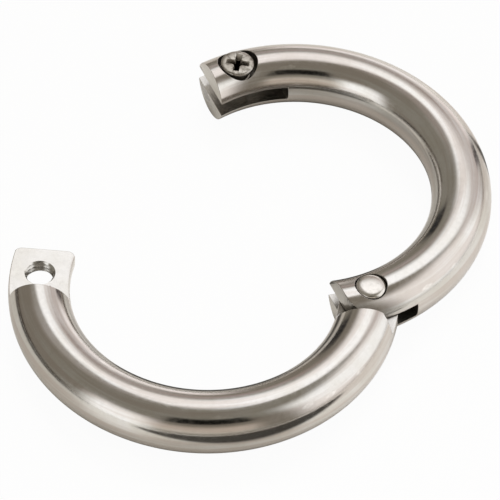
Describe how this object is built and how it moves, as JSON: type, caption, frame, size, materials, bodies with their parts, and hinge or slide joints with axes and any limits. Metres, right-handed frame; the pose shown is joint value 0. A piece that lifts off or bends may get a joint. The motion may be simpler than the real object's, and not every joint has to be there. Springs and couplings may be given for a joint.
{
  "type": "hinged ring connecting link",
  "caption": "Stainless ring link that opens on a riveted hinge pin and locks shut with a cross-recessed screw, to join chains, ropes and shackles.",
  "frame": {"origin": "middle of the fork half's ring, in the ring's mid-plane, which is also the middle of the whole ring when the link is shut", "axes": "+X from the ring's middle to the hinge pin, +Z square to the ring's plane and parallel to the pin and the screw, +Y to the fork half's bar"},
  "size_m": [0.0622, 0.07, 0.008],
  "materials": {
    "bar_steel": "polished stainless steel with fine buffing marks",
    "pin_steel": "riveted and buffed stainless steel",
    "screw_steel": "turned stainless steel with a dull cross recess"
  },
  "bodies": {
    "fork": {"fork_half": "bar_steel", "hinge_pin": "pin_steel"},
    "tongue": {"tongue_half": "bar_steel"},
    "screw": {"locking_screw": "screw_steel"}
  },
  "joints": [
    {"name": "link_hinge", "type": "hinge", "parent": "fork", "child": "tongue", "pos_m": [0.0215, 0, 0], "axis": [0, 0, 1], "range_deg": [-62, 38]},
    {"name": "locking_screw_travel", "type": "slide", "parent": "fork", "child": "screw", "axis": [0, 0, 1], "range_m": [-0.0014, 0]}
  ]
}
